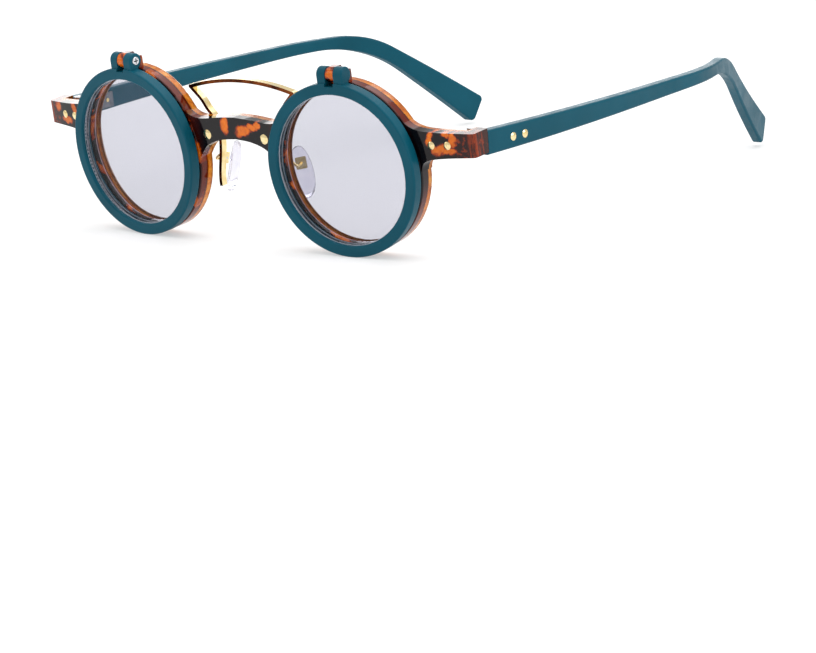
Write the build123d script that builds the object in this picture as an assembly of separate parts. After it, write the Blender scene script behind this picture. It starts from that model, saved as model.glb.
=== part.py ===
from build123d import *
import math
import os

# Round flip-up sunglasses, opened out and standing on a surface. Millimetres.
# Two upright frames are used. In the lens frame the spectacle front is upright: X to the
# wearer's left, Y towards the ears, Z up, and the origin is midway between the eyes on the
# front face of the closed flip rings. The stand frame is the lens frame leaned forward by
# PANTO, so that the temples are level and their hinge pins are vertical. "left" is +X.

# ---- driving dimensions -------------------------------------------------------------
HALF_SPACING = 34.5  # eye centre to the middle of the bridge
WRAP = 4.4           # each eye turns back at its outer side, degrees
PANTO = 5.1          # the front leans forward over the cheeks, degrees
GAP = 0.15           # between pieces that slide on each other
RUNNING = 0.05       # radial clearance of a pin that turns in a hole

# flip ring and tinted lens, depths counted back from the ring's front face
FLIP_INNER_R = 18.75
FLIP_OUTER_R = 21.6
FLIP_DEPTH = 3.0
TINT_R = 19.5
TINT_THICKNESS = 1.2
TINT_FRONT = 0.95

# rim and clear lens
RIM_INNER_R = 19.0
RIM_OUTER_R = 21.5
RIM_FRONT = 3.4
RIM_BACK = 7.8
RIM_BEVEL = 1.1
CLEAR_R = 19.7
CLEAR_THICKNESS = 1.5
CLEAR_FRONT = 4.9
EDGE_ROUND = 0.45

# flip hinge on top of each eye
PIN_HEIGHT = 23.3
PIN_DEPTH = 2.45
EAR_R = 1.95
EAR_INNER = 1.25
EAR_OUTER = 3.8
SLOT_FLOOR = 20.75
TONGUE_R = 1.85
SWEEP_R = 2.15       # room that the ears turn in
LUG_WALL = 0.55
LUG_HALF_WIDTH = 3.4
LUG_RISE = 0.9       # top of the lug's wall above the pin, lower than the ears
LUG_ROOT = 1.2       # how far the lug and ears run down into the rings
TONGUE_ROOT = 1.2    # how far the tongue's web reaches below the pin
EAR_ROUND = 0.4
FLIP_SCREW_R = 0.6
FLIP_HEAD_R = 1.05
FLIP_HEAD_SINK = 0.4
FLIP_HEAD_PROUD = 0.15
FLIP_HEAD_BEVEL = 0.12
FLIP_SCREW_END = 0.9  # the shank stops this far inside the outer ear's face
CROSS_LENGTH = 1.3
CROSS_WIDTH = 0.28
CROSS_DEPTH = 0.6
LENS_BEVEL = 0.15
CUT = 5               # a cutting tool reaches this far past what it cuts

# bridge, seen from the front
BRIDGE_FRONT = 2.0
BRIDGE_BACK = 6.1
BRIDGE_TOP = [(0, 10.65), (6.5, 10.2), (11.3, 9.75), (14.2, 10.3)]
BRIDGE_TOP_END = 13.0
BRIDGE_UNDER = [(0, 5.1), (4.4, 4.7), (7.6, 3.9), (10.2, 2.6), (12.1, 0.4)]
BRIDGE_UNDER_END = -2.5
BRIDGE_RIVET = (9.4, 5.7)
BRIDGE_REACH = 19     # the bridge's outline stops this far from the middle
RIM_OVERLAP = 0.25    # bridge and endpiece run this far into the rim's wall
RIM_KEPT = 1.1        # and end this far from the rim's outer face

# endpiece, from above (X, Y) and from the front (X, Z), both in the lens frame
ENDPIECE_FRONT = [(50, 4.75), (56.4, 5.25), (63.2, 6.5), (69.3, 8.0)]
CORNER_R = 1.1
ENDPIECE_SIDE_X = 70.15
ENDPIECE_BACK = 3.4
RETURN_THICKNESS = 3.3
ENDPIECE_TOP = [(71.5, 9.2), (58, 9.75), (55.6, 10.1)]
ENDPIECE_TOP_END = 12.2
ENDPIECE_UNDER = [(71.5, 3.5), (59, 2.95), (57.0, 2.4)]
ENDPIECE_UNDER_END = -0.5
ENDPIECE_RIVETS = [(59.0, 6.45), (63.2, 6.45)]
ENDPIECE_RIVET_LENGTH = 3.9
ENDPIECE_RIVET_LEAN = 0.13
ENDPIECE_SPAN = (51, 73)
ENDPIECE_DEPTHS = (2, 18)
ENDPIECE_INNER_EASE = 0.6
ENDPIECE_END_Y = 16   # before the plane of the temple's butt cuts it

# temple hinge, in the stand frame
HINGE_X = 65.2
HINGE_Y = 12.9
KNUCKLE_R = 1.25
KNUCKLE_LEVELS = [4.5, 6.2, 7.9, 9.6]
HINGE_SCREW_R = 0.6
HINGE_HEAD_R = 1.15
HINGE_HEAD_HEIGHT = 0.7
HINGE_HEAD_ROUND = 0.25
HINGE_SLOT = (3, 0.3, 0.5)
BUTT_Y = 12.7
SCREW_SEAT = 0.6           # front leaf's plate stops this far below the screw's head
LEAF_THICKNESS = 0.9
FRONT_LEAF_MIDDLE = (61.6, 9.15)
FRONT_LEAF_LENGTH = 8.2
FRONT_LEAF_TURN = 7.9      # follows the endpiece's back face, degrees
FRONT_WEB = (64.3, 65.7)
TEMPLE_LEAF_START = 14.6
TEMPLE_LEAF_LENGTH = 13.4
TEMPLE_LEAF_TURN = 4.2     # follows the temple's inner face, degrees
TEMPLE_LEAF_LEVELS = (4.9, 8.9)
TEMPLE_LEAF_PROUD = 0.45   # of its thickness, this much stands out of the temple

# temple, in the stand frame: outer face from above (X, Y), outline from the side (Y, Z)
TEMPLE_OUTER = [
    (70.15, 12.8),
    (72.2, 45),
    (72.2, 70),
    (71.5, 88),
    (70.0, 104),
    (65.1, 118),
    (59.1, 132),
    (53.9, 146),
    (49.7, 160),
    (48.0, 166),
]
TEMPLE_THICKNESS = 3.1
TEMPLE_BUTT = (12.85, 3.95, 9.85)
TEMPLE_TOP_CORNER = (123.2, 9.45)
TEMPLE_TOP_ROUND = 28.0
TEMPLE_HEEL = (157.8, -14.3)
TEMPLE_TIP = (154.1, -21.2)
TEMPLE_UNDER_CORNER = (122.3, 6.4)
TEMPLE_UNDER_ROUND = 36.0
TEMPLE_UNDER = [(80, 5.7), (55, 5.05)]
TIP_ROUND = 1.3
TEMPLE_ROUND = 0.55
TEMPLE_RIVETS = [21.4, 25.5]
TEMPLE_RIVET_Z = 6.9
TEMPLE_RIVET_LENGTH = 3.8
TEMPLE_RIVET_LEAN = 0.07

RIVET_R = 1.0
BRIDGE_RIVET_R = 1.25
RIVET_SHANK_R = 0.55
RIVET_HEAD_DEPTH = 0.5
RIVET_DOME = 0.3

# brow bar: a flat strip on edge, in one upright plane behind the bridge
BAR_FRONT = 6.1
BAR_DEPTH = 1.7
BAR_WIDTH = 0.9
BAR_CREST = 18.8
BAR_CORNER = (16.9, 16.5)
BAR_WAIST = [(13.4, 12.9), (12.3, 11.2), (10.3, 8.4)]
BAR_LEG = [(9.35, 5.7), (9.3, 2.3), (11.1, -8.8)]
BAR_BOSS_R = 1.6
BAR_BOSS_DEPTH = 0.9

# nose pad, its box and its wire arm, in the lens frame
PAD_CENTRE = (11.35, 12.0, -5.3)
PAD_TURN = 45.0
PAD_UP = (-0.228, 0.164, 0.96)  # the pads lean back and are closer together at the top
PAD_LENGTH = 13.4
PAD_WIDTH = 7.2
PAD_THICKNESS = 2.7
PAD_ROUND = 1.2
BOX_RISE = 2.2
BOX_LENGTH = 3.0
BOX_WIDTH = 2.7
BOX_DEPTH = 1.6
BOX_WALL = 0.35
BOX_GAP = 0.4
BOX_ROUND = 0.3
STEM_SLACK = 0.1      # each side of the stem, inside the box
STEM_WALL = 0.45      # beyond the pin's centre
STEM_HALF_HEIGHT = 0.75
PAD_PIN_R = 0.3
ARM_R = 0.36
ARM_PATH = [(10.1, 7.1, -1.2), (11.6, 7.8, -1.2), (13.1, 8.0, -2.2)]  # on from here to the box


# ---- frames -------------------------------------------------------------------------
turn = math.radians(WRAP)
EYE = Plane(
    origin=(HALF_SPACING, 0, 0),
    x_dir=(math.cos(turn), math.sin(turn), 0),
    z_dir=(math.sin(turn), -math.cos(turn), 0),
)
LEAN = Location((0, 0, 0), (PANTO, 0, 0))


def at_eye(shape):
    """Carry a shape from the left eye's own frame (right, up, forward) to the lens frame."""
    return EYE.location * shape


def mirrored(shape):
    return shape.mirror(Plane.YZ)


def turned(inner, outer, front, back, rounding):
    """A ring about the eye's axis, between two depths behind the flip ring's front face."""
    section = RectangleRounded(outer - inner, back - front, rounding)
    section = Plane.XZ * (Pos((inner + outer) / 2, -(front + back) / 2) * section)
    return revolve(section, Axis.Z, 360)


def disc(radius, front, thickness, bevel):
    body = Pos(0, 0, -front - thickness / 2) * Cylinder(radius, thickness)
    return chamfer(body.edges(), bevel)


def bar_x(x_low, x_high, radius, up, depth):
    """A round bar along the eye's X, centred at a height and a depth."""
    mid = Pos((x_low + x_high) / 2, up, -depth)
    return mid * (Rot(0, 90, 0) * Cylinder(radius, x_high - x_low))


def block(x, y, z):
    """A block between two values on each axis."""
    size = [high - low for low, high in (x, y, z)]
    middle = [(high + low) / 2 for low, high in (x, y, z)]
    return Pos(*middle) * Box(*size)


def heading(start, end):
    """The direction from one point to another."""
    return tuple(Vector(*end) - Vector(*start))


# ---- flip ring ----------------------------------------------------------------------
def flip_ring():
    ring = turned(FLIP_INNER_R, FLIP_OUTER_R, 0, FLIP_DEPTH, EDGE_ROUND)
    ears = bar_x(-EAR_OUTER, EAR_OUTER, EAR_R, PIN_HEIGHT, PIN_DEPTH)
    neck_front = PIN_DEPTH - EAR_R
    ears += block((-EAR_OUTER, EAR_OUTER), (FLIP_INNER_R + LUG_ROOT, PIN_HEIGHT), (-FLIP_DEPTH, -neck_front))
    ring = fillet_ears(ears) + ring
    ring -= block((-EAR_INNER, EAR_INNER), (SLOT_FLOOR, PIN_HEIGHT + CUT), (-FLIP_DEPTH - CUT, CUT))
    return ring


def fillet_ears(ears):
    """Soften the two outer ends of the ears' round bar."""
    ends = [e for e in ears.edges() if abs(abs(e.center().X) - EAR_OUTER) < 0.01]
    rims = [e for e in ends if e.center().Y > PIN_HEIGHT - 0.5]
    return fillet(rims, EAR_ROUND)


def flip_screw_blank():
    """The flip hinge's screw along X, its head on the inner ear, before its recess is cut."""
    shank = bar_x(-EAR_OUTER + FLIP_HEAD_SINK, EAR_OUTER - FLIP_SCREW_END, FLIP_SCREW_R, PIN_HEIGHT, PIN_DEPTH)
    head_x = (-EAR_OUTER - FLIP_HEAD_PROUD, -EAR_OUTER + FLIP_HEAD_SINK)
    head = bar_x(*head_x, FLIP_HEAD_R, PIN_HEIGHT, PIN_DEPTH)
    head = chamfer(head.edges().sort_by(Axis.X)[0], FLIP_HEAD_BEVEL)
    return shank + head


def flip_screw():
    """The finished screw, with a cross recess in its head."""
    screw = flip_screw_blank()
    for size_y, size_z in ((CROSS_LENGTH, CROSS_WIDTH), (CROSS_WIDTH, CROSS_LENGTH)):
        recess = Box(CROSS_DEPTH, size_y, size_z)
        screw -= Pos(-EAR_OUTER - FLIP_HEAD_PROUD, PIN_HEIGHT, -PIN_DEPTH) * recess
    return screw


# ---- spectacle front ----------------------------------------------------------------
def rim():
    ring = turned(RIM_INNER_R, RIM_OUTER_R, RIM_FRONT, RIM_BACK, EDGE_ROUND)
    cone_low = Pos(0, 0, -RIM_BACK + RIM_BEVEL / 2)
    ring -= cone_low * Cone(RIM_INNER_R + RIM_BEVEL, RIM_INNER_R, RIM_BEVEL)
    ring -= Pos(0, 0, -CLEAR_FRONT - CLEAR_THICKNESS / 2) * Cylinder(CLEAR_R, CLEAR_THICKNESS)
    return ring


def lug():
    """The wall behind the flip ring's ears, rising from the rim."""
    outer_r = SWEEP_R + LUG_WALL
    across = (-LUG_HALF_WIDTH, LUG_HALF_WIDTH)
    depth = (-PIN_DEPTH - outer_r, -PIN_DEPTH - SWEEP_R / 2)
    wall = bar_x(*across, outer_r, PIN_HEIGHT, PIN_DEPTH)
    wall &= block(across, (PIN_HEIGHT - outer_r, PIN_HEIGHT + LUG_RISE), depth)
    return wall + block(across, (RIM_OUTER_R - LUG_ROOT, PIN_HEIGHT), depth)


def tongue():
    """The barrel between the flip ring's ears, joined back to the lug, without its bore."""
    across = (GAP - EAR_INNER, EAR_INNER - GAP)
    outer_r = SWEEP_R + LUG_WALL
    shape = bar_x(*across, TONGUE_R, PIN_HEIGHT, PIN_DEPTH)
    web = block(across, (PIN_HEIGHT - TONGUE_ROOT, PIN_HEIGHT + TONGUE_R), (-PIN_DEPTH - outer_r, -PIN_DEPTH))
    return shape + (web & bar_x(*across, outer_r, PIN_HEIGHT, PIN_DEPTH))


def flip_sweep():
    """The space that the ears turn in, cut out of the rim's top and the lug."""
    return bar_x(-EAR_OUTER - LUG_WALL, EAR_OUTER + LUG_WALL, SWEEP_R, PIN_HEIGHT, PIN_DEPTH)


def rim_point(side, height):
    """A point of the rim's outline on its nose side (-1) or its temple side (1)."""
    reach = RIM_OUTER_R - RIM_OVERLAP
    return (HALF_SPACING + side * math.sqrt(reach**2 - height**2), height)


def rim_tangent(side, height, way):
    """The direction along the rim's outline at a height, going up (1) or down (-1)."""
    x = rim_point(side, height)[0] - HALF_SPACING
    return (-height * way * side, abs(x) * way)


def joined_outline(side, top, top_end, under, under_end):
    """A face from the rim outwards whose top and underside run smoothly into the rim."""
    top_tangents = [heading(top[0], top[1]), rim_tangent(side, top_end, 1)]
    under_tangents = [heading(under[0], under[1]), rim_tangent(side, under_end, -1)]
    top_edge = Spline(*top, rim_point(side, top_end), tangents=top_tangents)
    under_edge = Spline(*under, rim_point(side, under_end), tangents=under_tangents)
    across_rim = Line(top_edge @ 1, under_edge @ 1)
    shape = make_face([top_edge, across_rim, under_edge, Line(under[0], top[0])])
    shape += Pos(HALF_SPACING, 0) * Circle(RIM_OUTER_R - RIM_OVERLAP)
    return shape - Pos(HALF_SPACING, 0) * Circle(RIM_OUTER_R - RIM_KEPT)


def upright(sketch, front, back):
    """Stand an X, Z outline up and give it a depth in Y."""
    return extrude(Plane.XZ * sketch, amount=-(back - front)).moved(Location((0, front, 0)))


def half_bridge():
    """The bridge's left half, running into the rim."""
    shape = joined_outline(-1, BRIDGE_TOP, BRIDGE_TOP_END, BRIDGE_UNDER, BRIDGE_UNDER_END)
    shape &= Pos(BRIDGE_REACH / 2, 0) * Rectangle(BRIDGE_REACH, 2 * RIM_OUTER_R)
    return upright(shape, BRIDGE_FRONT, BRIDGE_BACK)


def endpiece():
    """The block from the rim to the corner and back along the head to the temple's end."""
    front = Spline(*ENDPIECE_FRONT)
    turn_in = front @ 1
    side = (ENDPIECE_SIDE_X, turn_in.Y + CORNER_R)
    corner = RadiusArc(turn_in, side, -CORNER_R * 1.02)
    inner_x = ENDPIECE_SIDE_X - RETURN_THICKNESS
    start_back = (ENDPIECE_FRONT[0][0], ENDPIECE_FRONT[0][1] + ENDPIECE_BACK)
    back_in = (inner_x, ENDPIECE_FRONT[2][1] + ENDPIECE_BACK + ENDPIECE_INNER_EASE)
    edges = [
        front,
        corner,
        Line(side, (ENDPIECE_SIDE_X, ENDPIECE_END_Y)),
        Line((ENDPIECE_SIDE_X, ENDPIECE_END_Y), (inner_x, ENDPIECE_END_Y)),
        Line((inner_x, ENDPIECE_END_Y), back_in),
        Line(back_in, start_back),
        Line(start_back, ENDPIECE_FRONT[0]),
    ]
    plan = make_face(edges)
    plan_block = extrude(plan, amount=ENDPIECE_TOP_END + CUT)
    seen = joined_outline(1, ENDPIECE_TOP, ENDPIECE_TOP_END, ENDPIECE_UNDER, ENDPIECE_UNDER_END)
    low_x, high_x = ENDPIECE_SPAN
    seen &= Pos((low_x + high_x) / 2, 0) * Rectangle(high_x - low_x, 2 * RIM_OUTER_R)
    return plan_block & upright(seen, *ENDPIECE_DEPTHS)


def behind_butt():
    """Everything behind the plane where the temples meet the front, in the lens frame."""
    return LEAN.inverse() * block((-100, 100), (BUTT_Y, 60), (-40, 40))


def front_frame(fillers):
    half = at_eye(rim()) + half_bridge() + endpiece()
    half -= at_eye(Pos(0, 0, -RIM_BACK) * Cylinder(RIM_INNER_R, 20))
    half += at_eye(lug())
    half -= at_eye(flip_sweep())
    half += at_eye(tongue())
    half -= at_eye(bar_x(-EAR_OUTER, EAR_OUTER, FLIP_SCREW_R + RUNNING, PIN_HEIGHT, PIN_DEPTH))
    half -= behind_butt()
    for filler in fillers:
        half -= filler
    return half + mirrored(half)


# ---- temples and their hinges, stand frame ------------------------------------------
def temple_outline():
    """The temple seen from the side: X of the sketch is Y, its Y is Z."""
    butt_y, butt_low, butt_high = TEMPLE_BUTT
    straight = Polyline((butt_y, butt_high), TEMPLE_TOP_CORNER, TEMPLE_HEEL, TEMPLE_TIP, TEMPLE_UNDER_CORNER)
    under = Spline(TEMPLE_UNDER_CORNER, *TEMPLE_UNDER, (butt_y, butt_low))
    butt = Line((butt_y, butt_low), (butt_y, butt_high))
    shape = make_face([*straight.edges(), under, butt])
    rounds = [
        (TEMPLE_TOP_CORNER, TEMPLE_TOP_ROUND),
        (TEMPLE_UNDER_CORNER, TEMPLE_UNDER_ROUND),
        (TEMPLE_HEEL, TIP_ROUND),
        (TEMPLE_TIP, TIP_ROUND),
    ]
    for corner, radius in rounds:
        found = shape.vertices().sort_by_distance((*corner, 0))[0]
        shape = fillet(found, radius)
    return shape


def temple(fillers):
    inner = [(x - TEMPLE_THICKNESS, y) for x, y in TEMPLE_OUTER]
    outer_edge = Spline(*TEMPLE_OUTER)
    inner_edge = Spline(*inner)
    plan = make_face(
        [outer_edge, Line(outer_edge @ 1, inner_edge @ 1), inner_edge, Line(inner_edge @ 0, outer_edge @ 0)]
    )
    band = extrude(plan, amount=60).moved(Location((0, 0, -40)))
    side = Plane.YZ * temple_outline()
    shape = extrude(side, amount=90) & band
    shape = soften(shape)
    for filler in fillers:
        shape -= filler
    return shape


def soften(shape):
    """Round the temple's long edges and the outline of its tip."""
    long_edges = [e for e in shape.edges() if e.center().Y > 13 or e.length > 20]
    long_edges = [e for e in long_edges if not on_thickness(e)]
    return fillet(long_edges, TEMPLE_ROUND)


def on_thickness(edge):
    """True for an edge that only crosses the temple from its outer to its inner face."""
    box = edge.bounding_box()
    return box.size.X > 2.5 and box.size.Y < 1.5 and box.size.Z < 1.5


def knuckles(levels):
    """Bored hinge knuckles between pairs of levels."""
    rings = []
    for low, high in levels:
        ring = Pos(HINGE_X, HINGE_Y, (low + high) / 2) * Cylinder(KNUCKLE_R, high - low)
        rings.append(ring)
    return rings


def hinge_front_leaf():
    """Plate let into the endpiece's back, and the lower and upper knuckles on a web behind it."""
    low, lower, upper, high = KNUCKLE_LEVELS
    plate_top = high - SCREW_SEAT
    plate = Box(FRONT_LEAF_LENGTH, LEAF_THICKNESS, plate_top - low)
    plate = Pos(*FRONT_LEAF_MIDDLE, (low + plate_top) / 2) * (Rot(0, 0, FRONT_LEAF_TURN) * plate)
    web_back = HINGE_Y - KNUCKLE_R - 0.2
    shape = plate + block(FRONT_WEB, (FRONT_LEAF_MIDDLE[1], web_back), (low, plate_top))
    outer_levels = [(low, lower - GAP), (upper + GAP, high)]
    for level, ring in zip(outer_levels, knuckles(outer_levels)):
        shape += ring
        shape += block(FRONT_WEB, (web_back - 0.3, HINGE_Y), level)
    return shape


def hinge_temple_leaf():
    """Plate let into the temple's inner face, and the middle knuckle."""
    lower, upper = KNUCKLE_LEVELS[1:3]
    leaf_x = ENDPIECE_SIDE_X - TEMPLE_THICKNESS
    plate_x = (-TEMPLE_LEAF_PROUD, LEAF_THICKNESS - TEMPLE_LEAF_PROUD)
    plate = block(plate_x, (0, TEMPLE_LEAF_LENGTH), TEMPLE_LEAF_LEVELS)
    face_x = leaf_x + (TEMPLE_LEAF_START - BUTT_Y) * math.tan(math.radians(TEMPLE_LEAF_TURN))
    shape = Pos(face_x, TEMPLE_LEAF_START, 0) * (Rot(0, 0, -TEMPLE_LEAF_TURN) * plate)
    arm_y = (HINGE_Y + 0.3, TEMPLE_LEAF_START + LEAF_THICKNESS)
    shape += block((HINGE_X + 0.1, leaf_x + 0.1), arm_y, (lower, upper))
    for ring in knuckles([(lower, upper)]):
        shape += ring
    return shape - Pos(HINGE_X, HINGE_Y, (lower + upper) / 2) * Cylinder(HINGE_SCREW_R + RUNNING, 10)


def hinge_screw():
    low, high = KNUCKLE_LEVELS[0], KNUCKLE_LEVELS[-1]
    screw = Pos(HINGE_X, HINGE_Y, (low + high) / 2) * Cylinder(HINGE_SCREW_R, high - low)
    head = Pos(HINGE_X, HINGE_Y, high + HINGE_HEAD_HEIGHT / 2) * Cylinder(HINGE_HEAD_R, HINGE_HEAD_HEIGHT)
    head = fillet(head.edges().sort_by(Axis.Z)[-1], HINGE_HEAD_ROUND)
    slot = Pos(HINGE_X, HINGE_Y, high + HINGE_HEAD_HEIGHT) * Box(*HINGE_SLOT)
    return screw + head - slot


# ---- rivets -------------------------------------------------------------------------
def rivet(radius, length):
    """A domed rivet along +Z, its seat at the origin and its shank running down."""
    seat = Pos(0, 0, -RIVET_HEAD_DEPTH / 2) * Cylinder(radius, RIVET_HEAD_DEPTH)
    ball_r = (radius**2 + RIVET_DOME**2) / (2 * RIVET_DOME)
    dome = Pos(0, 0, RIVET_DOME - ball_r) * Sphere(ball_r)
    dome &= Pos(0, 0, RIVET_DOME) * Cylinder(radius, 2 * RIVET_DOME)
    shank = Pos(0, 0, -(length + RIVET_HEAD_DEPTH) / 2) * Cylinder(RIVET_SHANK_R, length - RIVET_HEAD_DEPTH)
    return seat + dome + shank


def placed_rivet(position, outward, radius, length):
    return Plane(origin=position, z_dir=outward).location * rivet(radius, length)


def endpiece_rivets():
    """Two rivets through the endpiece's front, normal to its surface, lens frame."""
    front = Spline(*ENDPIECE_FRONT)
    found = []
    for x, z in ENDPIECE_RIVETS:
        hit = nearest(front, x)
        place = (x, hit.Y, z)
        found.append(placed_rivet(place, (ENDPIECE_RIVET_LEAN, -1, 0), RIVET_R, ENDPIECE_RIVET_LENGTH))
    return found


def nearest(curve, x):
    """The point of a curve at a given X."""
    low, high = 0.0, 1.0
    for _ in range(40):
        middle = (low + high) / 2
        if (curve @ middle).X < x:
            low = middle
        else:
            high = middle
    return curve @ low


def temple_rivets():
    """Two rivets through the temple into its leaf, stand frame."""
    outer = Spline(*[(y, x) for x, y in TEMPLE_OUTER])
    found = []
    for y in TEMPLE_RIVETS:
        x = nearest(outer, y).Y
        place = (x, y, TEMPLE_RIVET_Z)
        found.append(placed_rivet(place, (1, -TEMPLE_RIVET_LEAN, 0), RIVET_R, TEMPLE_RIVET_LENGTH))
    return found


def bridge_rivet():
    x, z = BRIDGE_RIVET
    back = BAR_FRONT + BAR_BOSS_DEPTH
    return placed_rivet((x, BRIDGE_FRONT, z), (0, -1, 0), BRIDGE_RIVET_R, back - BRIDGE_FRONT)


# ---- brow bar and nose pads ---------------------------------------------------------
def brow_bar():
    """One flat strip: over the bridge, round two corners, down behind it and on as two legs."""
    mirror_points = [(-x, z) for x, z in (BAR_CORNER, *BAR_WAIST, *BAR_LEG)]
    half = [(0, BAR_CREST), BAR_CORNER, *BAR_WAIST, *BAR_LEG]
    crown = ThreePointArc(mirror_points[0], half[0], half[1])
    shape = strip(crown)
    for side in (1, -1):
        points = [(side * x, z) for x, z in half]
        waist = Spline(*points[1:5], tangents=[(-side * 1.0, -1.1), (-side * 0.3, -1)])
        knee = Spline(*points[4:])
        shape += strip(waist) + strip(knee)
        shape += upright(Pos(*points[1]) * Circle(BAR_WIDTH * 0.56), BAR_FRONT, BAR_FRONT + BAR_DEPTH)
        shape += upright(Pos(*points[4]) * Circle(BAR_WIDTH / 2), BAR_FRONT, BAR_FRONT + BAR_DEPTH)
        boss = Pos(side * BRIDGE_RIVET[0], BRIDGE_RIVET[1]) * Circle(BAR_BOSS_R)
        shape += upright(boss, BAR_FRONT, BAR_FRONT + BAR_BOSS_DEPTH)
    return shape


def strip(curve):
    """The strip's outline along a curve in the XZ plane, given its depth."""
    steps = 24
    outer = []
    inner = []
    for i in range(steps + 1):
        at = curve @ (i / steps)
        along = curve % (i / steps)
        side = Vector(-along.Y, along.X, 0) * (BAR_WIDTH / 2)
        outer.append(at + side)
        inner.append(at - side)
    outer_edge = Spline(*outer)
    inner_edge = Spline(*inner)
    face = make_face(
        [outer_edge, Line(outer[-1], inner[-1]), inner_edge, Line(inner[0], outer[0])]
    )
    return upright(face, BAR_FRONT, BAR_FRONT + BAR_DEPTH)


pad_up = Vector(PAD_UP).normalized()
pad_across = pad_up.cross(Vector(math.cos(math.radians(PAD_TURN)), -math.sin(math.radians(PAD_TURN)), 0))
PAD = Plane(
    origin=PAD_CENTRE,
    x_dir=tuple(pad_across.normalized()),
    z_dir=tuple(pad_across.cross(pad_up).normalized()),
)
pin_out = PAD_THICKNESS / 2 + BOX_GAP + (BOX_DEPTH - BOX_WALL) / 2
PAD_PIN = PAD.location * Pos(0, BOX_RISE, pin_out)


def nose_pad():
    """Silicone oval with a stem that rocks on a pin in the box. Own frame: across, up, outward."""
    oval = extrude(Ellipse(PAD_WIDTH / 2, PAD_LENGTH / 2), amount=PAD_THICKNESS / 2, both=True)
    oval = fillet(oval.edges(), PAD_ROUND)
    stem_out = pin_out + STEM_WALL
    stem_w = BOX_WIDTH - 2 * BOX_WALL - 2 * STEM_SLACK
    stem_up = (BOX_RISE - STEM_HALF_HEIGHT, BOX_RISE + STEM_HALF_HEIGHT)
    stem = block((-stem_w / 2, stem_w / 2), stem_up, (0, stem_out))
    shape = oval + stem
    hole = Pos(0, BOX_RISE, pin_out) * (Rot(0, 90, 0) * Cylinder(PAD_PIN_R + RUNNING, PAD_WIDTH))
    return PAD.location * (shape - hole)


def pad_pin():
    pin = Pos(0, BOX_RISE, pin_out) * (Rot(0, 90, 0) * Cylinder(PAD_PIN_R, BOX_WIDTH))
    return PAD.location * pin


def pad_arm(bar):
    """The wire arm from the brow bar's leg and the box on its end."""
    low = PAD_THICKNESS / 2 + BOX_GAP
    w, h = BOX_WIDTH / 2, BOX_LENGTH / 2
    box = block((-w, w), (BOX_RISE - h, BOX_RISE + h), (low, low + BOX_DEPTH))
    box = fillet(box.edges().filter_by(Axis.Z), BOX_ROUND)
    iw, ih = w - BOX_WALL, h - BOX_WALL
    hollow = block((-iw, iw), (BOX_RISE - ih, BOX_RISE + ih), (low - CUT, low + BOX_DEPTH - BOX_WALL))
    box = PAD.location * (box - hollow)
    box_middle = PAD.from_local_coords((0, BOX_RISE, low + BOX_DEPTH - BOX_WALL / 2))
    path = Spline(*ARM_PATH, box_middle)
    wire = sweep(Plane(origin=path @ 0, z_dir=path % 0) * Circle(ARM_R), path=path)
    wire -= PAD.location * hollow
    return box + wire - bar - pad_pin()


# ---- the whole pair -----------------------------------------------------------------
def build():
    """Every node by name, in the stand frame."""
    upright_parts = {}
    leaf = hinge_front_leaf()
    riveted = endpiece_rivets()
    bridge_pin = bridge_rivet()
    screw = hinge_screw()
    unlean = LEAN.inverse()
    upright_parts["front_frame"] = front_frame([unlean * leaf, *riveted, bridge_pin])
    bar = brow_bar() - bridge_pin - mirrored(bridge_pin)
    flip = flip_ring() - flip_screw_blank()
    flip -= Pos(0, 0, -TINT_FRONT - TINT_THICKNESS / 2) * Cylinder(TINT_R, TINT_THICKNESS)
    left = {
        "flip_ring": at_eye(flip),
        "tinted_lens": at_eye(disc(TINT_R, TINT_FRONT, TINT_THICKNESS, LENS_BEVEL)),
        "flip_screw": at_eye(flip_screw()),
        "clear_lens": at_eye(disc(CLEAR_R, CLEAR_FRONT, CLEAR_THICKNESS, LENS_BEVEL)),
        "endpiece_rivets": Compound(riveted),
        "pad_arm": pad_arm(bar),
        "nose_pad": nose_pad(),
        "pad_pin": pad_pin(),
    }
    for name, shape in left.items():
        upright_parts[name + "_left"] = shape
        upright_parts[name + "_right"] = mirrored(shape)
    upright_parts["brow_bar"] = bar
    upright_parts["bridge_rivets"] = Compound([bridge_pin, mirrored(bridge_pin)])
    parts = {name: LEAN * shape for name, shape in upright_parts.items()}
    side_rivets = temple_rivets()
    temple_leaf = hinge_temple_leaf()
    front_leaf = leaf - screw
    for piece in riveted:
        front_leaf -= LEAN * piece
    riveted_leaf = temple_leaf
    for piece in side_rivets:
        riveted_leaf -= piece
    side = {
        "temple": temple([temple_leaf, *side_rivets]),
        "hinge_front_leaf": front_leaf,
        "hinge_temple_leaf": riveted_leaf,
        "hinge_screw": screw,
        "temple_rivets": Compound(side_rivets),
    }
    for name, shape in side.items():
        parts[name + "_left"] = shape
        parts[name + "_right"] = mirrored(shape)
    return parts


def standing_shift(parts):
    """Move that puts the origin at the middle of the box's base, on the surface."""
    boxes = [part.bounding_box() for part in parts.values()]
    front = min(box.min.Y for box in boxes)
    back = max(box.max.Y for box in boxes)
    return Vector(0, -(front + back) / 2, -min(box.min.Z for box in boxes))


def main():
    parts = build()
    shift = standing_shift(parts)
    os.makedirs("parts", exist_ok=True)
    for name, shape in parts.items():
        export_step(Location(shift) * shape, f"parts/{name}.step")


main()
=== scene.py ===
import math

import bmesh
import bpy
from mathutils import Matrix, Vector


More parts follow.
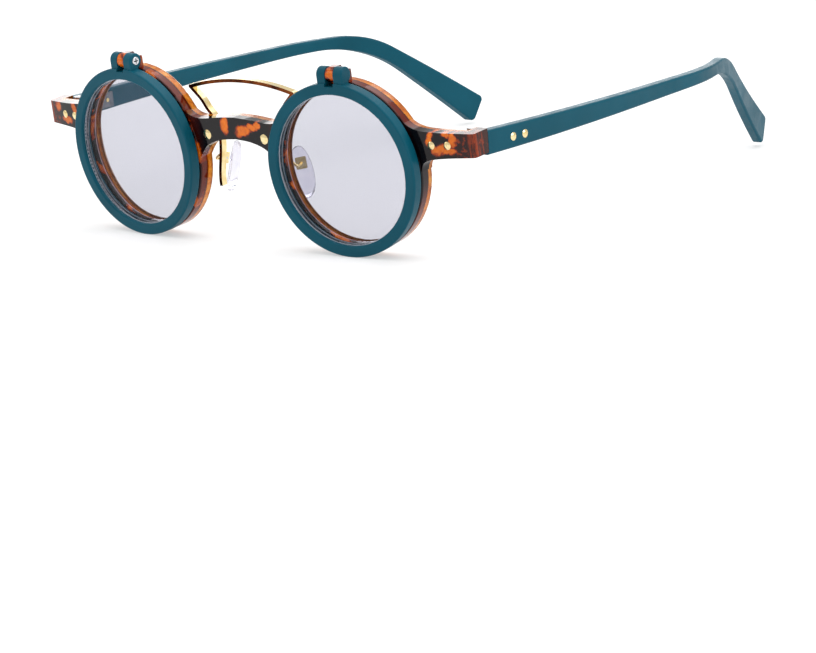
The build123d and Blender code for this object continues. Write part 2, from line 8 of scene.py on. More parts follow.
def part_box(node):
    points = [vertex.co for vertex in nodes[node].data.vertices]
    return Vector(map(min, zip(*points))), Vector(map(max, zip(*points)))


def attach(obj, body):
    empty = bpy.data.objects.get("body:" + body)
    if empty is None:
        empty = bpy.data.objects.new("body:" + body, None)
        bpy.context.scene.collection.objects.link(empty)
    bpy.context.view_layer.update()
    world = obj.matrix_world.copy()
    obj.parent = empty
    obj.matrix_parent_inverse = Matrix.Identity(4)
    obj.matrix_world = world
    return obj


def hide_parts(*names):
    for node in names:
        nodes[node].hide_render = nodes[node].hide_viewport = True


# Flip-up sunglasses standing open on a pale floor. Metres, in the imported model's frame:
# X to the wearer's left, Y from the lenses back to the ears, Z up.

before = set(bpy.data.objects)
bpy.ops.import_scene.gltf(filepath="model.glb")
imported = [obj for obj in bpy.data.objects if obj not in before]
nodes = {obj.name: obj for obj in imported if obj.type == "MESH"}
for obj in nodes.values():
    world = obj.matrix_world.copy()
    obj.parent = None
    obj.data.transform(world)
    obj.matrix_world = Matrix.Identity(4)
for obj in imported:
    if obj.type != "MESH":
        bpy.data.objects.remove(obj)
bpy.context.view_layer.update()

SIDES = ("left", "right")
MM = 0.001
PER_METRE = 1000.0

# ---- frame of the spectacle front ---------------------------------------------------
WRAP = math.radians(4.4)   # each lens turns this far round the face
PANTO = math.radians(5.1)  # and its foot leans in this far


def middle(node):
    low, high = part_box(node)
    return (low + high) / 2


EYE = middle("clear_lens_left")
BACKWARD = Vector((-math.sin(WRAP), math.cos(WRAP) * math.cos(PANTO), math.cos(WRAP) * math.sin(PANTO)))
SIDEWAYS = Vector((math.cos(WRAP), math.sin(WRAP) * math.cos(PANTO), math.sin(WRAP) * math.sin(PANTO)))


# ---- node helpers -------------------------------------------------------------------
def srgb(red, green, blue):
    """A colour given as 0-255 display values, in the linear values that a shader takes."""
    values = [c / 255 for c in (red, green, blue)]
    return [c / 12.92 if c < 0.04045 else ((c + 0.055) / 1.055) ** 2.4 for c in values] + [1.0]


def blank(name):
    material = bpy.data.materials.new(name)
    material.use_nodes = True
    material.node_tree.nodes.clear()
    return material, material.node_tree


def add(tree, kind, inputs=None, **settings):
    """A node with its settings; an input is a value, or another node's socket to link."""
    node = tree.nodes.new(kind)
    for key, value in settings.items():
        setattr(node, key, value)
    for key, value in (inputs or {}).items():
        if isinstance(value, bpy.types.NodeSocket):
            tree.links.new(value, node.inputs[key])
        else:
            node.inputs[key].default_value = value
    return node


def calc(tree, operation, *values):
    inputs = dict(enumerate(values))
    return add(tree, "ShaderNodeMath", inputs, operation=operation).outputs[0]


def vector_calc(tree, operation, *values, output="Vector"):
    inputs = dict(enumerate(values))
    return add(tree, "ShaderNodeVectorMath", inputs, operation=operation).outputs[output]


def parts_of(tree, vector):
    return add(tree, "ShaderNodeSeparateXYZ", {0: vector}).outputs


def object_place(tree):
    """Where the shaded point is on the resting object, in metres."""
    return add(tree, "ShaderNodeTexCoord").outputs["Object"]


def point(tree):
    """Where the shaded point is on the resting object, in millimetres."""
    return vector_calc(tree, "MULTIPLY", object_place(tree), (PER_METRE,) * 3)


def noise(tree, scale, detail=2.0, distortion=0.0, vector=None):
    """Three-dimensional noise, its scale in cycles per millimetre."""
    inputs = {
        "Vector": vector or point(tree),
        "Scale": scale,
        "Detail": detail,
        "Distortion": distortion,
    }
    return add(tree, "ShaderNodeTexNoise", inputs).outputs["Fac"]


def ramp(tree, factor, stops):
    """A colour ramp from (position, colour) pairs."""
    node = add(tree, "ShaderNodeValToRGB", {0: factor})
    elements = node.color_ramp.elements
    while len(elements) < len(stops):
        elements.new(0.5)
    for element, (position, colour) in zip(elements, stops):
        element.position = position
        element.color = colour
    return node.outputs["Color"]


def span(tree, value, low, high, start=0.0, end=1.0):
    """A value's smooth rise from start to end between low and high."""
    inputs = {"Value": value, 1: low, 2: high, 3: start, 4: end}
    return add(tree, "ShaderNodeMapRange", inputs, interpolation_type="SMOOTHSTEP").outputs[0]


def mixed(tree, factor, first, second):
    inputs = {"Factor": factor, 6: first, 7: second}
    return add(tree, "ShaderNodeMix", inputs, data_type="RGBA").outputs[2]


def bump(tree, height, distance, strength):
    inputs = {"Height": height, "Distance": distance, "Strength": strength}
    return add(tree, "ShaderNodeBump", inputs).outputs["Normal"]


def finish_surface(tree, shader):
    output = add(tree, "ShaderNodeOutputMaterial")
    tree.links.new(shader, output.inputs["Surface"])


def lit_through(tree, shader, tint):
    """Light passes on to what lies behind, tinted, instead of leaving a black shadow."""
    shadow = add(tree, "ShaderNodeLightPath").outputs["Is Shadow Ray"]
    clear = add(tree, "ShaderNodeBsdfTransparent", {"Color": tint}).outputs[0]
    return add(tree, "ShaderNodeMixShader", {0: shadow, 1: shader, 2: clear}).outputs[0]


# ---- materials ----------------------------------------------------------------------
def teal_rubber():
    """Soft-touch teal paint on moulded plastic: even, matte, with a fine skin."""
    material, tree = blank("teal_rubber")
    drift = noise(tree, 0.06, detail=3)
    colour = ramp(tree, drift, [(0.3, srgb(0, 70, 86)), (0.7, srgb(4, 80, 98))])
    grain = noise(tree, 9.0, detail=2)
    handled = noise(tree, 0.25, detail=4, distortion=0.6)
    inputs = {
        "Base Color": colour,
        "Roughness": span(tree, handled, 0.3, 0.7, 0.34, 0.46),
        "Specular IOR Level": 0.14,
        "Normal": bump(tree, grain, 0.00002, 0.35),
    }
    shader = add(tree, "ShaderNodeBsdfPrincipled", inputs).outputs[0]
    finish_surface(tree, shader)
    return material


def lens_place(tree):
    """A point's place across, behind and above the eye line, in mm, in the upright lens frame."""
    lifted = vector_calc(tree, "ADD", object_place(tree), (0, -EYE.y, -EYE.z))
    inputs = {"Vector": vector_calc(tree, "MULTIPLY", lifted, (PER_METRE,) * 3), "Angle": -PANTO}
    return add(tree, "ShaderNodeVectorRotate", inputs, rotation_type="X_AXIS").outputs[0]


def folded_place(tree):
    """A point's place with the wearer's right side folded over onto the left."""
    parts = parts_of(tree, object_place(tree))
    inputs = {0: calc(tree, "ABSOLUTE", parts[0]), 1: parts[1], 2: parts[2]}
    return add(tree, "ShaderNodeCombineXYZ", inputs).outputs[0]


def from_eye(tree, direction):
    """How far a point lies from its clear lens's centre along a direction, in millimetres."""
    along = vector_calc(tree, "DOT_PRODUCT", folded_place(tree), direction, output="Value")
    return calc(tree, "MULTIPLY", calc(tree, "SUBTRACT", along, EYE.dot(direction)), PER_METRE)


def off_axis(tree):
    """How far a point lies from its eye's axis, in millimetres."""
    from_centre = vector_calc(tree, "SUBTRACT", folded_place(tree), EYE)
    crossed = vector_calc(tree, "CROSS_PRODUCT", from_centre, BACKWARD)
    return calc(tree, "MULTIPLY", vector_calc(tree, "LENGTH", crossed, output="Value"), PER_METRE)


# Where the parts of the front begin and end, across from its middle, in mm.
BRIDGE_TO_RIM = (11.5, 15.5)
RIM_TO_ENDPIECE = (52.5, 55.5)
DEPTH_BRIDGE_TO_RIM = (10.0, 15.0)
DEPTH_RIM_TO_ENDPIECE = (53.0, 56.0)
WALL_START = (9.5, 12.5)
LEAF_START = (64.8, 65.8)
BACK_END = (66.5, 68.0)
OUTER_SIDE = (67.2, 69.4)
OUTER_SIDE_BACK = (6.0, 6.6)  # behind the eye line
RIM_BORE = (19.2, 19.5)       # off the eye's axis

# The middle of the acetate sheet, in mm behind the eye line.
BRIDGE_MIDDLE = -1.4
ENDPIECE_MIDDLE = -7.4
ENDPIECE_SLOPE = 0.17

STIR = 2.2  # how far the mottling's edges wander, in mm


def layer_depth(tree, upright, reach):
    """Depth through the bent sheet of acetate, in mm, from -2.2 at the front to 2.2 at the back."""
    rim = from_eye(tree, BACKWARD)
    behind = parts_of(tree, upright)[1]
    bridge = calc(tree, "ADD", behind, -BRIDGE_MIDDLE)
    end = calc(tree, "ADD", calc(tree, "MULTIPLY_ADD", reach, -ENDPIECE_SLOPE, behind), -ENDPIECE_MIDDLE)
    past_bridge = span(tree, reach, *DEPTH_BRIDGE_TO_RIM)
    past_rim = span(tree, reach, *DEPTH_RIM_TO_ENDPIECE)
    inner = add(tree, "ShaderNodeMix", {0: past_bridge, 2: bridge, 3: rim}).outputs[0]
    return add(tree, "ShaderNodeMix", {0: past_rim, 2: inner, 3: end}).outputs[0]


# Amber windows in the dark front layer: centre across and up, half sizes in mm, and lean in
# degrees, in the upright lens frame.
AMBER_WINDOWS = (
    ((34.7, 23.6), (1.5, 1.3), 20),
    ((-34.7, 23.4), (1.5, 1.5), 0),
    ((-3.2, 8.5), (1.15, 2.0), 6),
    ((2.9, 7.4), (2.4, 1.3), -14),
    ((5.6, 8.6), (1.7, 0.8), 10),
    ((7.6, 8.9), (0.9, 0.8), -30),
    ((58.7, 8.3), (0.75, 1.9), 24),
    ((60.9, 5.6), (1.0, 1.9), 62),
    ((63.6, 5.1), (1.9, 1.0), 0),
    ((64.6, 8.0), (1.0, 1.7), 0),
    ((62.9, 9.0), (1.0, 0.6), 0),
    ((-14.0, 1.6), (1.3, 3.2), -20),
    ((-58.8, 8.0), (0.9, 1.9), -24),
    ((-62.6, 5.2), (2.0, 1.0), 0),
    ((-66.0, 8.2), (1.2, 1.4), 10),
)


THROUGH = 1000  # a window's half size through the sheet, in mm: it goes right through


def amber_windows(tree, place):
    """Where the dark layer opens onto the amber beneath: 1 in a window, 0 outside."""
    total = None
    for (across, up), (half_width, half_height), lean in AMBER_WINDOWS:
        moved = add(tree, "ShaderNodeMapping", {"Vector": place}, vector_type="TEXTURE")
        moved.inputs["Location"].default_value = (across, 0, up)
        moved.inputs["Rotation"].default_value = (0, math.radians(lean), 0)
        moved.inputs["Scale"].default_value = (half_width, THROUGH, half_height)
        reach = vector_calc(tree, "LENGTH", moved.outputs[0], output="Value")
        window = span(tree, reach, 0.6, 1.5, 1.0, 0.0)
        total = window if total is None else calc(tree, "MAXIMUM", total, window)
    return total


def amber_share(tree, upright, reach, on_rim, inside):
    """How far the front layer clears, from near-black at 0 to amber at 1."""
    stir_inputs = {"Vector": point(tree), "Scale": 0.55, "Detail": 3.0}
    stir = add(tree, "ShaderNodeTexNoise", stir_inputs).outputs["Color"]
    warped = vector_calc(tree, "MULTIPLY_ADD", stir, (STIR,) * 3, upright)
    shifted = vector_calc(tree, "ADD", warped, (-STIR / 2,) * 3)
    mottle = noise(tree, 0.13, detail=3, distortion=0.9, vector=shifted)
    mottle = calc(tree, "MULTIPLY_ADD", inside, 0.06, mottle)
    patches = calc(tree, "MULTIPLY", span(tree, mottle, 0.53, 0.68), on_rim)
    light = calc(tree, "MAXIMUM", amber_windows(tree, shifted), patches)

    ahead = span(tree, parts_of(tree, upright)[1], *OUTER_SIDE_BACK, 1.0, 0.0)
    side = calc(tree, "MULTIPLY", span(tree, reach, *OUTER_SIDE), ahead)
    stretched = vector_calc(tree, "MULTIPLY", upright, (1.6, 1.6, 0.12))
    stripes = span(tree, noise(tree, 1.0, detail=3, vector=stretched), 0.38, 0.62, 0.26, 0.52)
    light = calc(tree, "MAXIMUM", light, calc(tree, "MULTIPLY", side, stripes))

    leaf_mottle = span(tree, noise(tree, 0.8, detail=4), 0.45, 0.7, 0.16, 0.5)
    leaf = calc(tree, "MULTIPLY", span(tree, reach, *LEAF_START), leaf_mottle)
    light = calc(tree, "MAXIMUM", light, leaf)
    mellow = span(tree, noise(tree, 0.9, detail=3), 0.3, 0.7, 0.82, 1.0)
    return calc(tree, "MULTIPLY", light, mellow)


def front_layer(tree, light, depth, reach, outside):
    """The dark mottled layer, browner down its cut walls: partly the layer's own colour, partly a painted
    reflection.
    """
    stops = [
        (0.0, srgb(9, 3, 5)),
        (0.25, srgb(48, 10, 4)),
        (0.55, srgb(160, 54, 0)),
        (1.0, srgb(246, 122, 0)),
    ]
    wall_tone_and_reflection = calc(tree, "MULTIPLY", span(tree, depth, -2.3, -1.6, 0.0, 0.6), span(tree, reach, *WALL_START))
    wall_tone_and_reflection = calc(tree, "MULTIPLY", wall_tone_and_reflection, span(tree, reach, *DEPTH_RIM_TO_ENDPIECE, 1.0, 0.0))
    wall_tone_and_reflection = calc(tree, "MULTIPLY", wall_tone_and_reflection, outside)
    return mixed(tree, wall_tone_and_reflection, ramp(tree, light, stops), srgb(120, 36, 14))


def back_layer(tree, inside):
    """The clear amber layer, with painted shade inside a rim's opening."""
    streak = noise(tree, 0.5, detail=3, distortion=0.4, vector=point(tree))
    stops = [(0.3, srgb(186, 88, 14)), (0.55, srgb(232, 134, 26)), (0.75, srgb(252, 180, 66))]
    shaded = calc(tree, "MULTIPLY", inside, 0.75)
    return mixed(tree, shaded, ramp(tree, streak, stops), srgb(62, 26, 18))


def tortoiseshell():
    """Two bonded layers of acetate: a dark mottled front over a clear amber back."""
    material, tree = blank("tortoiseshell")
    upright = lens_place(tree)
    reach = calc(tree, "ABSOLUTE", parts_of(tree, upright)[0])
    depth = layer_depth(tree, upright, reach)
    rim_end = span(tree, reach, *RIM_TO_ENDPIECE, 1.0, 0.0)
    on_rim = calc(tree, "MULTIPLY", span(tree, reach, *BRIDGE_TO_RIM), rim_end)
    inside = span(tree, off_axis(tree), *RIM_BORE, 1.0, 0.0)
    outside = calc(tree, "SUBTRACT", 1.0, inside)
    light = amber_share(tree, upright, reach, on_rim, inside)
    share = calc(tree, "MULTIPLY", span(tree, depth, -0.1, 0.35), span(tree, reach, *BACK_END, 1.0, 0.0))
    colour = mixed(tree, share, front_layer(tree, light, depth, reach, outside), back_layer(tree, inside))

    # Painted highlight: a thin pinkish-white line inside each rim's opening, a little behind its front.
    rim_highlight_line = calc(tree, "ABSOLUTE", calc(tree, "ADD", depth, 0.9))
    rim_highlight_line = calc(tree, "MULTIPLY", span(tree, rim_highlight_line, 0.06, 0.16, 0.85, 0.0), inside)
    colour = mixed(tree, rim_highlight_line, colour, srgb(214, 176, 180))
    seam = calc(tree, "ABSOLUTE", calc(tree, "ADD", depth, 0.1))
    seam = calc(tree, "MULTIPLY", span(tree, seam, 0.05, 0.35, 0.85, 0.0), on_rim)
    colour = mixed(tree, seam, colour, srgb(56, 16, 8))
    colour = mixed(tree, span(tree, depth, 1.75, 2.1, 0.0, 0.6), colour, srgb(60, 22, 10))

    through = calc(tree, "MAXIMUM", calc(tree, "MULTIPLY", light, 0.3), calc(tree, "MULTIPLY", share, 0.5))
    inputs = {
        "Base Color": colour,
        "Roughness": span(tree, noise(tree, 1.3, detail=3), 0.35, 0.7, 0.05, 0.12),
        "IOR": 1.49,
        "Specular IOR Level": 0.3,
        "Transmission Weight": calc(tree, "MULTIPLY", through, outside),
        "Normal": bump(tree, noise(tree, 0.5, detail=1), 0.00006, 0.25),
    }
    shader = add(tree, "ShaderNodeBsdfPrincipled", inputs).outputs[0]
    finish_surface(tree, shader)
    return material


HIGHLIGHT_RING = 18.62    # from the eye's axis, where a thin painted highlight line runs round the tinted pane
PANE_MIRROR = 0.008  # share of light that a coated pane mirrors when seen straight on
SMUDGE = 0.03        # roughness where a pane is smudged


def lens_pane(name, tint, mirror_tint, highlight_radius=None):
    """A thin polished pane: tinted straight through, mirroring more at a slant."""
    material, tree = blank(name)
    smudge = noise(tree, 0.18, detail=3, distortion=1.0)
    slant = add(tree, "ShaderNodeLayerWeight", {"Blend": 0.5}).outputs["Facing"]
    facing = calc(tree, "MULTIPLY_ADD", calc(tree, "POWER", slant, 5.0), 1 - PANE_MIRROR, PANE_MIRROR)
    clear = add(tree, "ShaderNodeBsdfTransparent", {"Color": tint}).outputs[0]
    gloss_inputs = {"Color": mirror_tint, "Roughness": span(tree, smudge, 0.4, 0.7, 0.0, SMUDGE)}
    gloss = add(tree, "ShaderNodeBsdfGlossy", gloss_inputs).outputs[0]
    shader = add(tree, "ShaderNodeMixShader", {0: facing, 1: clear, 2: gloss}).outputs[0]
    # Painted highlight: a thin whitish ring at the given radius stands in for the highlight along the flip
    # ring's inner edge.
    if highlight_radius:
        line = span(tree, off_axis(tree), highlight_radius - 0.05, highlight_radius + 0.05, 0.0, 0.8)
        painted_highlight = add(tree, "ShaderNodeBsdfDiffuse", {"Color": srgb(226, 226, 234)}).outputs[0]
        shader = add(tree, "ShaderNodeMixShader", {0: line, 1: shader, 2: painted_highlight}).outputs[0]
    finish_surface(tree, shader)
    return material


def metal(name, colour, worn, rough_low, rough_high, brush, painted_shade_from=None):
    """Polished metal with faint brushing, duller patches and, behind a given depth, painted shade in
    near-black.
    """
    material, tree = blank(name)
    patches = noise(tree, 0.8, detail=4)
    stretched = vector_calc(tree, "MULTIPLY", point(tree), brush)
    lines = noise(tree, 1.0, detail=3, vector=stretched)
    surface = ramp(tree, patches, [(0.35, colour), (0.75, worn)])
    if painted_shade_from:
        # Painted shade: past the given depth the metal turns near-black.
        inside = span(tree, from_eye(tree, SIDEWAYS), painted_shade_from, painted_shade_from + 0.08)
        surface = mixed(tree, inside, surface, srgb(30, 28, 30))
    inputs = {
        "Base Color": surface,
        "Metallic": 1.0,
        "Roughness": span(tree, lines, 0.3, 0.7, rough_low, rough_high),
        "Normal": bump(tree, lines, 0.00001, 0.3),
    }
    shader = add(tree, "ShaderNodeBsdfPrincipled", inputs).outputs[0]
    finish_surface(tree, shader)
    return material


def bar_gold():
    """The brow bar's pale gold plating, bright along its edges, with a painted dark reflection on its front
    face.
    """
    material, tree = blank("bar_gold")
    patches = noise(tree, 0.5, detail=4)
    normal = add(tree, "ShaderNodeTexCoord").outputs["Normal"]
    ahead = calc(tree, "MULTIPLY", parts_of(tree, normal)[1], -1.0)
    bright = ramp(tree, patches, [(0.35, srgb(246, 228, 178)), (0.75, srgb(226, 196, 132))])
    # Painted reflection: faces turned to the front are painted dark brown, standing in for the dark reflection
    # on the polished front face.
    painted_dark_reflection = ramp(tree, patches, [(0.35, srgb(58, 26, 14)), (0.65, srgb(122, 62, 24))])
    inputs = {
        "Base Color": mixed(tree, span(tree, ahead, 0.4, 0.8), bright, painted_dark_reflection),
        "Metallic": 1.0,
        "Roughness": span(tree, patches, 0.3, 0.7, 0.12, 0.22),
        "Normal": bump(tree, patches, 0.00001, 0.3),
    }
    shader = add(tree, "ShaderNodeBsdfPrincipled", inputs).outputs[0]
    finish_surface(tree, shader)
    return material


def silicone():
    """Clear soft silicone, slightly cloudy, with a satin skin."""
    material, tree = blank("silicone")
    cloud = noise(tree, 0.5, detail=4)
    inputs = {
        "Base Color": ramp(tree, cloud, [(0.3, srgb(226, 224, 236)), (0.7, srgb(240, 239, 246))]),
        "Roughness": span(tree, cloud, 0.3, 0.7, 0.1, 0.22),
        "IOR": 1.41,
        "Transmission Weight": 1.0,
        "Normal": bump(tree, noise(tree, 2.5, detail=2), 0.00002, 0.2),
    }
    shader = add(tree, "ShaderNodeBsdfPrincipled", inputs).outputs[0]
    finish_surface(tree, lit_through(tree, shader, srgb(235, 236, 240)))
    return material


# ---- nose pads ----------------------------------------------------------------------
PAD_CENTRE = (11.35, 12.0, -5.3)   # upright lens frame, from the middle of the flip rings' front
LENS_CENTRE_BACK = 5.633           # the clear lens's centre in that frame
PAD_TURN = math.radians(45.0)
PAD_UP = Vector((-0.228, 0.164, 0.96)).normalized()
PAD_HALF_WIDTH = 3.55
PAD_HALF_LENGTH = 6.65
PAD_TAPER = 0.12                   # how much fuller the foot is than the top
PAD_FULLNESS = 0.12                # how far the oval swells towards a box
PAD_INNER_SIDE = 0.94 / 1.02       # the two sides' shares of the half width
PAD_OUTER_SIDE = 0.8 / 1.02
STEM_UP = 2.2
STEM_HALF = (0.9, 0.75)
STEM_ROOT = 0.4                    # where the stem starts, inside the pad
STEM_SQUARENESS = 5
STEM_END = 2.82
PIN_OUT = 2.375
PIN_HOLE = 0.36
PAD_SECTION = (                    # (share of the outline's radius, outward) from crown to back
    (0.0, -1.32),
    (0.2, -1.31),
    (0.4, -1.27),
    (0.58, -1.2),
    (0.74, -1.07),
    (0.86, -0.86),
    (0.94, -0.55),
    (0.985, -0.16),
    (1.0, 0.2),
    (0.985, 0.56),
    (0.95, 0.86),
    (0.9, 1.05),
    (0.83, 1.12),
    (0.76, 1.05),
    (0.68, 0.86),
    (0.55, 0.74),
    (0.35, 0.7),
    (0.0, 0.7),
)


def pad_matrix(side):
    """The pad's own frame (across, up, outward to its box), in mm, to the model's frame."""
    across = PAD_UP.cross(Vector((math.cos(PAD_TURN), -math.sin(PAD_TURN), 0))).normalized()
    outward = across.cross(PAD_UP)
    own = Matrix((across, PAD_UP, outward)).transposed().to_4x4()
    own.translation = Vector(PAD_CENTRE) - Vector((0, LENS_CENTRE_BACK, 0))
    lean = Matrix.Translation((0, EYE.y, EYE.z)) @ Matrix.Rotation(PANTO, 4, "X") @ Matrix.Scale(MM, 4)
    mirror = Matrix.Scale(-1 if side == "right" else 1, 4, Vector((1, 0, 0)))
    return mirror @ lean @ own


def pad_outline(angle):
    """The pad's edge: an oval, fuller at the foot and flatter on its front side."""
    x, y = math.sin(angle), math.cos(angle)
    width = PAD_HALF_WIDTH * (1 - PAD_TAPER * y) * (PAD_INNER_SIDE if x < 0 else PAD_OUTER_SIDE)
    across = width * x * abs(x) ** -PAD_FULLNESS if abs(x) > 1e-6 else 0.0
    return across, PAD_HALF_LENGTH * y


def pad_body():
    """The crowned oval with a thick rounded lip and a dished back."""
    body = bmesh.new()
    around = 56
    rings = []
    for share, outward in PAD_SECTION:
        if share == 0.0:
            rings.append([body.verts.new((0, 0, outward))])
            continue
        ring = []
        for i in range(around):
            x, y = pad_outline(2 * math.pi * i / around)
            ring.append(body.verts.new((x * share, y * share, outward)))
        rings.append(ring)
    for first, second in zip(rings, rings[1:]):
        for i in range(around):
            j = (i + 1) % around
            if len(first) == 1:
                body.faces.new((first[0], second[j], second[i]))
            elif len(second) == 1:
                body.faces.new((first[i], first[j], second[0]))
            else:
                body.faces.new((first[i], first[j], second[j], second[i]))
    return body


def pad_stem():
    """The stem that rocks on the pin: a block with a rounded end and the pin's hole through it."""
    stem = bmesh.new()
    around = 32
    loops = []
    for x in (-STEM_HALF[0], STEM_HALF[0]):
        outer, inner = [], []
        for i in range(around):
            angle = 2 * math.pi * i / around
            up, out = math.cos(angle), math.sin(angle)
            if out < 0:
                reach = 1 / max(abs(up), abs(out))
            else:
                reach = 1 / (abs(up) ** STEM_SQUARENESS + abs(out) ** STEM_SQUARENESS) ** (1 / STEM_SQUARENESS)
            length = STEM_END - PIN_OUT if out > 0 else PIN_OUT - STEM_ROOT
            corner = (x, STEM_UP + up * reach * STEM_HALF[1], PIN_OUT + out * reach * length)
            outer.append(stem.verts.new(corner))
            inner.append(stem.verts.new((x, STEM_UP + up * PIN_HOLE, PIN_OUT + out * PIN_HOLE)))
        loops.append((outer, inner))
    (outer_a, inner_a), (outer_b, inner_b) = loops
    for i in range(around):
        j = (i + 1) % around
        stem.faces.new((outer_a[i], outer_a[j], outer_b[j], outer_b[i]))
        stem.faces.new((inner_a[j], inner_a[i], inner_b[i], inner_b[j]))
        stem.faces.new((outer_a[j], outer_a[i], inner_a[i], inner_a[j]))
        stem.faces.new((outer_b[i], outer_b[j], inner_b[j], inner_b[i]))
    return stem


def mesh_object(name, form):
    bmesh.ops.recalc_face_normals(form, faces=form.faces)
    mesh = bpy.data.meshes.new(name)
    form.to_mesh(mesh)
    form.free()
    piece = bpy.data.objects.new(name, mesh)
    bpy.context.scene.collection.objects.link(piece)
    return piece


def apply_modifiers(piece):
    evaluated = piece.evaluated_get(bpy.context.evaluated_depsgraph_get())
    mesh = bpy.data.meshes.new_from_object(evaluated)
    piece.modifiers.clear()
    piece.data = mesh
    return mesh


def make_pad(side, material):
    piece = mesh_object(f"silicone_pad_{side}", pad_body())
    stem = mesh_object(f"stem_{side}", pad_stem())
    join = piece.modifiers.new("join", "BOOLEAN")
    join.operation = "UNION"
    join.solver = "EXACT"
    join.object = stem
    mesh = apply_modifiers(piece)
    bpy.data.objects.remove(stem)
    mesh.transform(pad_matrix(side))
    if side == "right":
        mesh.flip_normals()
    mesh.shade_smooth()
    mesh.set_sharp_from_angle(angle=math.radians(40))
    mesh.materials.clear()
    mesh.materials.append(material)
    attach(piece, f"pad_{side}")
    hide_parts(f"nose_pad_{side}")


def make_pads():
    material = silicone()
    for side in SIDES:
        make_pad(side, material)


# ---- dressing the CAD nodes ---------------------------------------------------------
def dress(material, *names):
    for name in names:
        mesh = nodes[name].data
        mesh.materials.clear()
        mesh.materials.append(material)


def pair(*names):
    return [f"{name}_{side}" for name in names for side in SIDES]


SCREW_FACE = -3.9  # from the eye's centre along the flip hinge's pin, in mm; past it the screw is painted dark as shade


def dress_all():
    gold = metal("gold_plate", srgb(246, 228, 178), srgb(226, 196, 132), 0.12, 0.24, (1.5, 1.5, 12))
    steel = metal("bright_steel", srgb(214, 214, 216), srgb(170, 170, 174), 0.16, 0.3, (9, 1.5, 1.5))
    dress(teal_rubber(), *pair("flip_ring", "temple"))
    dress(tortoiseshell(), "front_frame")
    dress(gold, "bridge_rivets", *pair("endpiece_rivets", "temple_rivets", "pad_arm"))
    dress(bar_gold(), "brow_bar")
    satin = metal("satin_steel", srgb(132, 136, 142), srgb(104, 108, 114), 0.3, 0.42, (1.5, 9, 1.5))
    bright, dull = srgb(236, 236, 238), srgb(196, 196, 200)
    screw = metal("screw_steel", bright, dull, 0.14, 0.26, (9, 1.5, 1.5), SCREW_FACE)
    dress(steel, *pair("hinge_screw", "pad_pin"))
    dress(satin, *pair("hinge_front_leaf", "hinge_temple_leaf"))
    dress(screw, *pair("flip_screw"))
    clear = lens_pane("clear_lens", srgb(250, 250, 252), srgb(225, 215, 250))
    tinted = lens_pane("tinted_lens", srgb(231, 231, 234), srgb(255, 255, 255), HIGHLIGHT_RING)
    dress(clear, *pair("clear_lens"))
    dress(tinted, *pair("tinted_lens"))


# ---- stage --------------------------------------------------------------------------
FLOOR_GLOW_SHARE = 0.45
FLOOR_GLOW = 1.05
STUDIO_LIGHT = 0.78


def make_floor():
    """A wide pale sheet, its far side rising in one curve."""
    half = 3.0
    bend_start, bend_radius, steps = 2.0, 1.2, 16
    profile = [(-half, 0.0), (bend_start, 0.0)]
    for i in range(1, steps + 1):
        angle = math.pi / 2 * i / steps
        profile.append((bend_start + bend_radius * math.sin(angle), bend_radius * (1 - math.cos(angle))))
    points = [(x, y, z) for y, z in profile for x in (-half, half)]
    faces = [(2 * i, 2 * i + 1, 2 * i + 3, 2 * i + 2) for i in range(len(profile) - 1)]
    mesh = bpy.data.meshes.new("floor")
    mesh.from_pydata(points, [], faces)
    mesh.polygons.foreach_set("use_smooth", [True] * len(faces))
    floor = bpy.data.objects.new("floor", mesh)
    bpy.context.scene.collection.objects.link(floor)
    material, tree = blank("pale_floor")
    stops = [(0.3, (0.93, 0.93, 0.93, 1)), (0.7, (0.96, 0.96, 0.96, 1))]
    shade = ramp(tree, noise(tree, 0.004, detail=2), stops)
    matte = add(tree, "ShaderNodeBsdfDiffuse", {"Color": shade}).outputs[0]
    glow = add(tree, "ShaderNodeEmission", {"Color": shade, "Strength": FLOOR_GLOW}).outputs[0]
    shader = add(tree, "ShaderNodeMixShader", {0: FLOOR_GLOW_SHARE, 1: matte, 2: glow}).outputs[0]
    finish_surface(tree, shader)
    mesh.materials.append(material)


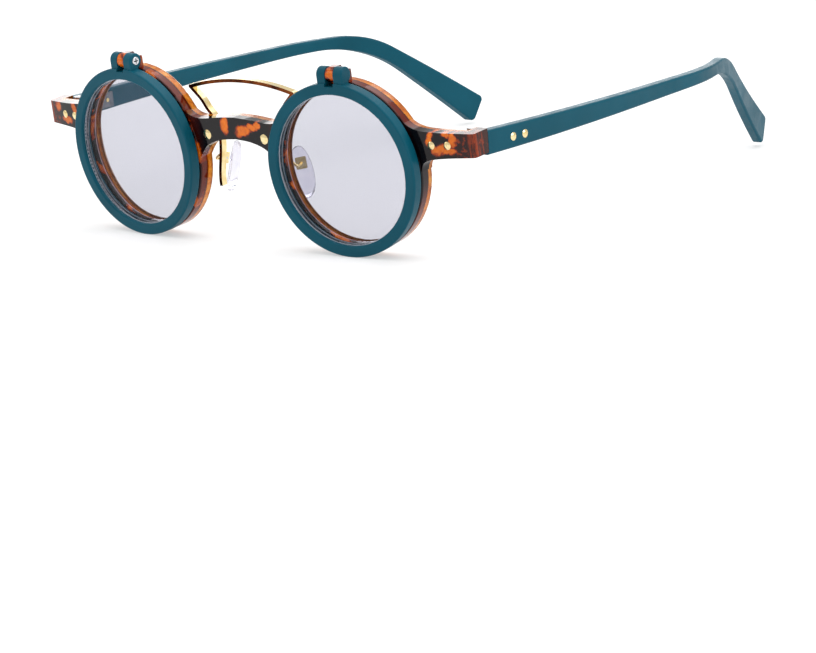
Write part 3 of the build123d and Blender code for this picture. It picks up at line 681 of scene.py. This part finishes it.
def area_light(name, place, target, size, power):
    data = bpy.data.lights.new(name, "AREA")
    data.shape = "RECTANGLE"
    data.size, data.size_y = size
    data.energy = power
    light = bpy.data.objects.new(name, data)
    light.visible_camera = False
    light.matrix_world = facing_matrix(Vector(place), (Vector(target) - Vector(place)).normalized(), 0.0)
    bpy.context.scene.collection.objects.link(light)


def facing_matrix(place, forward, roll):
    """A lamp's or camera's matrix from where it looks and how far it is rolled."""
    right = forward.cross(Vector((0, 0, 1))).normalized()
    up = right.cross(forward)
    level = Matrix((right, up, -forward)).transposed()
    return Matrix.Translation(place) @ (level @ Matrix.Rotation(roll, 3, "Z")).to_4x4()


def make_lights():
    world = bpy.data.worlds.new("studio")
    world.use_nodes = True
    background = world.node_tree.nodes["Background"]
    background.inputs["Color"].default_value = (1, 1, 1, 1)
    background.inputs["Strength"].default_value = STUDIO_LIGHT
    bpy.context.scene.world = world
    area_light("overhead", (0.05, 0.15, 1.1), (0, 0.02, 0), (1.6, 1.6), 12.0)
    area_light("front_left", (-0.7, -0.8, 0.6), (0, 0, 0.02), (0.6, 0.5), 1.0)
    area_light("right", (1.1, 0.15, 0.5), (0.05, 0, 0.02), (0.7, 0.5), 3.0)
    area_light("back_card", (-0.55, 0.62, 0.22), (0, -0.05, 0.03), (0.7, 0.36), 1.6)
    bpy.context.scene.view_settings.view_transform = "Standard"


CAMERA_FROM_EYES = Vector((0.55978, -0.60047, 0.15168))
CAMERA_HEADING = math.radians(40.461)
CAMERA_DIP = math.radians(13.554)
CAMERA_ROLL = math.radians(-3.989)
CAMERA_LENS = 149.3


def make_camera():
    data = bpy.data.cameras.new("camera")
    data.lens = CAMERA_LENS
    data.sensor_width = 36.0
    data.clip_start = 0.05
    camera = bpy.data.objects.new("camera", data)
    level = math.cos(CAMERA_DIP)
    across = -math.sin(CAMERA_HEADING) * level
    ahead = math.cos(CAMERA_HEADING) * level
    forward = Vector((across, ahead, -math.sin(CAMERA_DIP)))
    place = Vector((0, EYE.y, EYE.z)) + CAMERA_FROM_EYES
    camera.matrix_world = facing_matrix(place, forward, CAMERA_ROLL)
    bpy.context.scene.collection.objects.link(camera)
    bpy.context.scene.camera = camera


make_camera()
make_floor()
make_lights()
dress_all()
make_pads()
